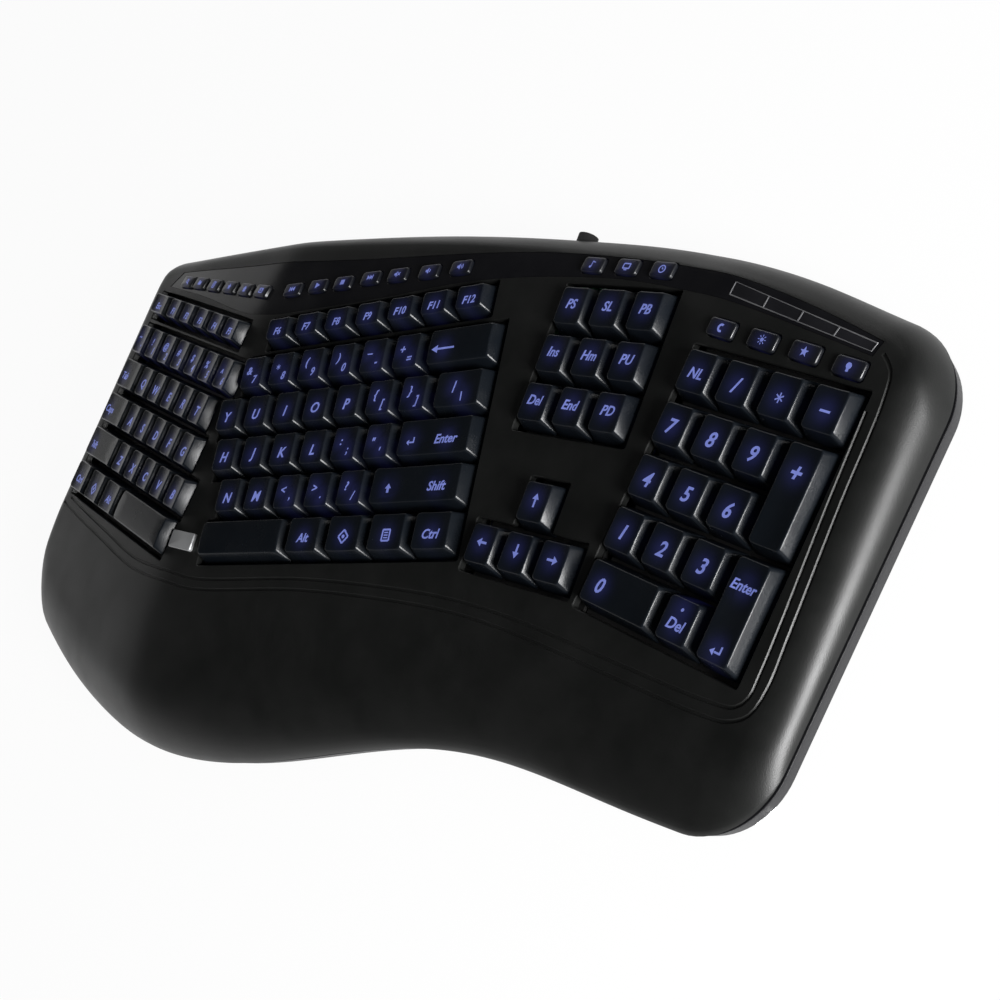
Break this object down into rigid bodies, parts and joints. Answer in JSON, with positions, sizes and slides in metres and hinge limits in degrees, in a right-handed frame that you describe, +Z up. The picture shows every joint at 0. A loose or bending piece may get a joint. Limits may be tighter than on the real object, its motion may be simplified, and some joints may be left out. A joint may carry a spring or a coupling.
{
  "type": "ergonomic keyboard",
  "caption": "Split, ridged computer keyboard with palm rest, lit key legends, navigation keys, number pad, a strip of small media keys and folding tilt legs",
  "frame": {"origin": "centre of the footprint, on the table plane the rubber feet stand on", "axes": "+X to the typist's right, +Y away from the typist, +Z up"},
  "size_m": [0.5118, 0.2431, 0.0461],
  "materials": {
    "case_black": "fine grain, satin",
    "base_black": "fine grain, matte",
    "strip_black": "polished",
    "lens_smoke": "smoked, clear",
    "badge_silver": "brushed satin",
    "key_charcoal": "fine matte with lit legends",
    "plate_black": "matte",
    "dome_rubber": "translucent",
    "membrane_film": "film with printed tracks",
    "light_panel": "clear, edge lit",
    "board_green": "solder mask",
    "screw_steel": "blackened",
    "rubber_black": "soft matte"
  },
  "bodies": {
    "case": {"top_shell": "case_black", "bottom_shell": "base_black", "media_strip": "strip_black", "indicator_lens": "lens_smoke", "badge_plate": "badge_silver", "key_guide_plates": "plate_black", "dome_sheets": "dome_rubber", "membrane_sheets": "membrane_film", "light_guides": "light_panel", "controller_board": "board_green", "indicator_board": "board_green", "hot_key_boards": "board_green", "hot_key_pads": "dome_rubber", "case_screws": "screw_steel", "rubber_feet": "rubber_black", "cable_gland": "rubber_black"},
    "escape_body": {"escape_key": "key_charcoal"},
    "left_function_group": {"left_function_keys": "key_charcoal"},
    "left_number_group": {"left_number_keys": "key_charcoal"},
    "tab_body": {"tab_key": "key_charcoal"},
    "left_upper_group": {"left_upper_keys": "key_charcoal"},
    "caps_lock_body": {"caps_lock_key": "key_charcoal"},
    "left_home_group": {"left_home_keys": "key_charcoal"},
    "left_shift_body": {"left_shift_key": "key_charcoal"},
    "left_lower_group": {"left_lower_keys": "key_charcoal"},
    "left_bottom_group": {"left_bottom_keys": "key_charcoal"},
    "left_space_body": {"left_space_key": "key_charcoal"},
    "right_function_group": {"right_function_keys": "key_charcoal"},
    "right_number_group": {"right_number_keys": "key_charcoal"},
    "backspace_body": {"backspace_key": "key_charcoal"},
    "right_upper_group": {"right_upper_keys": "key_charcoal"},
    "backslash_body": {"backslash_key": "key_charcoal"},
    "right_home_group": {"right_home_keys": "key_charcoal"},
    "enter_body": {"enter_key": "key_charcoal"},
    "right_lower_group": {"right_lower_keys": "key_charcoal"},
    "right_shift_body": {"right_shift_key": "key_charcoal"},
    "right_space_body": {"right_space_key": "key_charcoal"},
    "right_bottom_group": {"right_bottom_keys": "key_charcoal"},
    "nav_top_group": {"nav_top_keys": "key_charcoal"},
    "nav_middle_group": {"nav_middle_keys": "key_charcoal"},
    "nav_lower_group": {"nav_lower_keys": "key_charcoal"},
    "arrow_up_body": {"arrow_up_key": "key_charcoal"},
    "arrow_left_body": {"arrow_left_key": "key_charcoal"},
    "arrow_down_body": {"arrow_down_key": "key_charcoal"},
    "arrow_right_body": {"arrow_right_key": "key_charcoal"},
    "pad_top_group": {"pad_top_keys": "key_charcoal"},
    "pad_upper_group": {"pad_upper_keys": "key_charcoal"},
    "pad_plus_body": {"pad_plus_key": "key_charcoal"},
    "pad_middle_group": {"pad_middle_keys": "key_charcoal"},
    "pad_lower_group": {"pad_lower_keys": "key_charcoal"},
    "pad_enter_body": {"pad_enter_key": "key_charcoal"},
    "pad_zero_body": {"pad_zero_key": "key_charcoal"},
    "pad_decimal_body": {"pad_decimal_key": "key_charcoal"},
    "left_hot_group": {"left_hot_keys": "key_charcoal"},
    "middle_hot_group": {"middle_hot_keys": "key_charcoal"},
    "right_hot_group": {"right_hot_keys": "key_charcoal"},
    "pad_hot_group": {"pad_hot_keys": "key_charcoal"},
    "left_leg_body": {"left_leg": "base_black"},
    "right_leg_body": {"right_leg": "base_black"}
  },
  "joints": [
    {"name": "escape_key_press", "type": "slide", "parent": "case", "child": "escape_body", "axis": [0.0935, 0.0358, -0.995], "range_m": [0, 0.003], "stiffness_N_per_m": 150, "springref_m": -0.002, "deforming": ["dome_sheets"]},
    {"name": "left_function_keys_press", "type": "slide", "parent": "case", "child": "left_function_group", "axis": [0.0935, 0.0358, -0.995], "range_m": [0, 0.003], "stiffness_N_per_m": 150, "springref_m": -0.002},
    {"name": "left_number_keys_press", "type": "slide", "parent": "case", "child": "left_number_group", "axis": [0.0935, 0.0358, -0.995], "range_m": [0, 0.003], "stiffness_N_per_m": 150, "springref_m": -0.002},
    {"name": "tab_key_press", "type": "slide", "parent": "case", "child": "tab_body", "axis": [0.0935, 0.0358, -0.995], "range_m": [0, 0.003], "stiffness_N_per_m": 150, "springref_m": -0.002},
    {"name": "left_upper_keys_press", "type": "slide", "parent": "case", "child": "left_upper_group", "axis": [0.0935, 0.0358, -0.995], "range_m": [0, 0.003], "stiffness_N_per_m": 150, "springref_m": -0.002},
    {"name": "caps_lock_key_press", "type": "slide", "parent": "case", "child": "caps_lock_body", "axis": [0.0935, 0.0358, -0.995], "range_m": [0, 0.003], "stiffness_N_per_m": 150, "springref_m": -0.002},
    {"name": "left_home_keys_press", "type": "slide", "parent": "case", "child": "left_home_group", "axis": [0.0935, 0.0358, -0.995], "range_m": [0, 0.003], "stiffness_N_per_m": 150, "springref_m": -0.002},
    {"name": "left_shift_key_press", "type": "slide", "parent": "case", "child": "left_shift_body", "axis": [0.0935, 0.0358, -0.995], "range_m": [0, 0.003], "stiffness_N_per_m": 150, "springref_m": -0.002},
    {"name": "left_lower_keys_press", "type": "slide", "parent": "case", "child": "left_lower_group", "axis": [0.0935, 0.0358, -0.995], "range_m": [0, 0.003], "stiffness_N_per_m": 150, "springref_m": -0.002},
    {"name": "left_bottom_keys_press", "type": "slide", "parent": "case", "child": "left_bottom_group", "axis": [0.0935, 0.0358, -0.995], "range_m": [0, 0.003], "stiffness_N_per_m": 150, "springref_m": -0.002},
    {"name": "left_space_key_press", "type": "slide", "parent": "case", "child": "left_space_body", "axis": [0.0935, 0.0358, -0.995], "range_m": [0, 0.003], "stiffness_N_per_m": 150, "springref_m": -0.002},
    {"name": "right_function_keys_press", "type": "slide", "parent": "case", "child": "right_function_group", "axis": [-0.0935, 0.0358, -0.995], "range_m": [0, 0.003], "stiffness_N_per_m": 150, "springref_m": -0.002},
    {"name": "right_number_keys_press", "type": "slide", "parent": "case", "child": "right_number_group", "axis": [-0.0935, 0.0358, -0.995], "range_m": [0, 0.003], "stiffness_N_per_m": 150, "springref_m": -0.002},
    {"name": "backspace_key_press", "type": "slide", "parent": "case", "child": "backspace_body", "axis": [-0.0935, 0.0358, -0.995], "range_m": [0, 0.003], "stiffness_N_per_m": 150, "springref_m": -0.002},
    {"name": "right_upper_keys_press", "type": "slide", "parent": "case", "child": "right_upper_group", "axis": [-0.0935, 0.0358, -0.995], "range_m": [0, 0.003], "stiffness_N_per_m": 150, "springref_m": -0.002},
    {"name": "backslash_key_press", "type": "slide", "parent": "case", "child": "backslash_body", "axis": [-0.0935, 0.0358, -0.995], "range_m": [0, 0.003], "stiffness_N_per_m": 150, "springref_m": -0.002},
    {"name": "right_home_keys_press", "type": "slide", "parent": "case", "child": "right_home_group", "axis": [-0.0935, 0.0358, -0.995], "range_m": [0, 0.003], "stiffness_N_per_m": 150, "springref_m": -0.002},
    {"name": "enter_key_press", "type": "slide", "parent": "case", "child": "enter_body", "axis": [-0.0935, 0.0358, -0.995], "range_m": [0, 0.003], "stiffness_N_per_m": 150, "springref_m": -0.002},
    {"name": "right_lower_keys_press", "type": "slide", "parent": "case", "child": "right_lower_group", "axis": [-0.0935, 0.0358, -0.995], "range_m": [0, 0.003], "stiffness_N_per_m": 150, "springref_m": -0.002},
    {"name": "right_shift_key_press", "type": "slide", "parent": "case", "child": "right_shift_body", "axis": [-0.0935, 0.0358, -0.995], "range_m": [0, 0.003], "stiffness_N_per_m": 150, "springref_m": -0.002},
    {"name": "right_space_key_press", "type": "slide", "parent": "case", "child": "right_space_body", "axis": [-0.0935, 0.0358, -0.995], "range_m": [0, 0.003], "stiffness_N_per_m": 150, "springref_m": -0.002},
    {"name": "right_bottom_keys_press", "type": "slide", "parent": "case", "child": "right_bottom_group", "axis": [-0.0935, 0.0358, -0.995], "range_m": [0, 0.003], "stiffness_N_per_m": 150, "springref_m": -0.002},
    {"name": "nav_top_keys_press", "type": "slide", "parent": "case", "child": "nav_top_group", "axis": [-0.0173, 0.036, -0.9992], "range_m": [0, 0.003], "stiffness_N_per_m": 150, "springref_m": -0.002},
    {"name": "nav_middle_keys_press", "type": "slide", "parent": "case", "child": "nav_middle_group", "axis": [-0.0173, 0.036, -0.9992], "range_m": [0, 0.003], "stiffness_N_per_m": 150, "springref_m": -0.002},
    {"name": "nav_lower_keys_press", "type": "slide", "parent": "case", "child": "nav_lower_group", "axis": [-0.0173, 0.036, -0.9992], "range_m": [0, 0.003], "stiffness_N_per_m": 150, "springref_m": -0.002},
    {"name": "arrow_up_key_press", "type": "slide", "parent": "case", "child": "arrow_up_body", "axis": [-0.0173, 0.036, -0.9992], "range_m": [0, 0.003], "stiffness_N_per_m": 150, "springref_m": -0.002},
    {"name": "arrow_left_key_press", "type": "slide", "parent": "case", "child": "arrow_left_body", "axis": [-0.0173, 0.036, -0.9992], "range_m": [0, 0.003], "stiffness_N_per_m": 150, "springref_m": -0.002},
    {"name": "arrow_down_key_press", "type": "slide", "parent": "case", "child": "arrow_down_body", "axis": [-0.0173, 0.036, -0.9992], "range_m": [0, 0.003], "stiffness_N_per_m": 150, "springref_m": -0.002},
    {"name": "arrow_right_key_press", "type": "slide", "parent": "case", "child": "arrow_right_body", "axis": [-0.0173, 0.036, -0.9992], "range_m": [0, 0.003], "stiffness_N_per_m": 150, "springref_m": -0.002},
    {"name": "pad_top_keys_press", "type": "slide", "parent": "case", "child": "pad_top_group", "axis": [-0.0084, 0.0555, -0.9984], "range_m": [0, 0.003], "stiffness_N_per_m": 150, "springref_m": -0.002},
    {"name": "pad_upper_keys_press", "type": "slide", "parent": "case", "child": "pad_upper_group", "axis": [-0.0084, 0.0555, -0.9984], "range_m": [0, 0.003], "stiffness_N_per_m": 150, "springref_m": -0.002},
    {"name": "pad_plus_key_press", "type": "slide", "parent": "case", "child": "pad_plus_body", "axis": [-0.0084, 0.0555, -0.9984], "range_m": [0, 0.003], "stiffness_N_per_m": 150, "springref_m": -0.002},
    {"name": "pad_middle_keys_press", "type": "slide", "parent": "case", "child": "pad_middle_group", "axis": [-0.0084, 0.0555, -0.9984], "range_m": [0, 0.003], "stiffness_N_per_m": 150, "springref_m": -0.002},
    {"name": "pad_lower_keys_press", "type": "slide", "parent": "case", "child": "pad_lower_group", "axis": [-0.0084, 0.0555, -0.9984], "range_m": [0, 0.003], "stiffness_N_per_m": 150, "springref_m": -0.002},
    {"name": "pad_enter_key_press", "type": "slide", "parent": "case", "child": "pad_enter_body", "axis": [-0.0084, 0.0555, -0.9984], "range_m": [0, 0.003], "stiffness_N_per_m": 150, "springref_m": -0.002},
    {"name": "pad_zero_key_press", "type": "slide", "parent": "case", "child": "pad_zero_body", "axis": [-0.0084, 0.0555, -0.9984], "range_m": [0, 0.003], "stiffness_N_per_m": 150, "springref_m": -0.002},
    {"name": "pad_decimal_key_press", "type": "slide", "parent": "case", "child": "pad_decimal_body", "axis": [-0.0084, 0.0555, -0.9984], "range_m": [0, 0.003], "stiffness_N_per_m": 150, "springref_m": -0.002},
    {"name": "left_hot_keys_press", "type": "slide", "parent": "case", "child": "left_hot_group", "axis": [0.0594, -0.1074, -0.9924], "range_m": [0, 0.001], "stiffness_N_per_m": 400, "springref_m": -0.001, "deforming": ["hot_key_pads"]},
    {"name": "middle_hot_keys_press", "type": "slide", "parent": "case", "child": "middle_hot_group", "axis": [-0.0668, -0.1099, -0.9917], "range_m": [0, 0.001], "stiffness_N_per_m": 400, "springref_m": -0.001},
    {"name": "right_hot_keys_press", "type": "slide", "parent": "case", "child": "right_hot_group", "axis": [-0.0322, -0.0965, -0.9948], "range_m": [0, 0.001], "stiffness_N_per_m": 400, "springref_m": -0.001},
    {"name": "pad_hot_keys_press", "type": "slide", "parent": "case", "child": "pad_hot_group", "axis": [-0.0101, 0.0497, -0.9987], "range_m": [0, 0.001], "stiffness_N_per_m": 400, "springref_m": -0.001},
    {"name": "left_leg_hinge", "type": "hinge", "parent": "case", "child": "left_leg_body", "pos_m": [-0.19167, 0.09905, 0.0034], "axis": [1, 0, 0], "range_deg": [0, 85]},
    {"name": "right_leg_hinge", "type": "hinge", "parent": "case", "child": "right_leg_body", "pos_m": [0.17833, 0.08705, 0.0034], "axis": [1, 0, 0], "range_deg": [0, 85]}
  ]
}
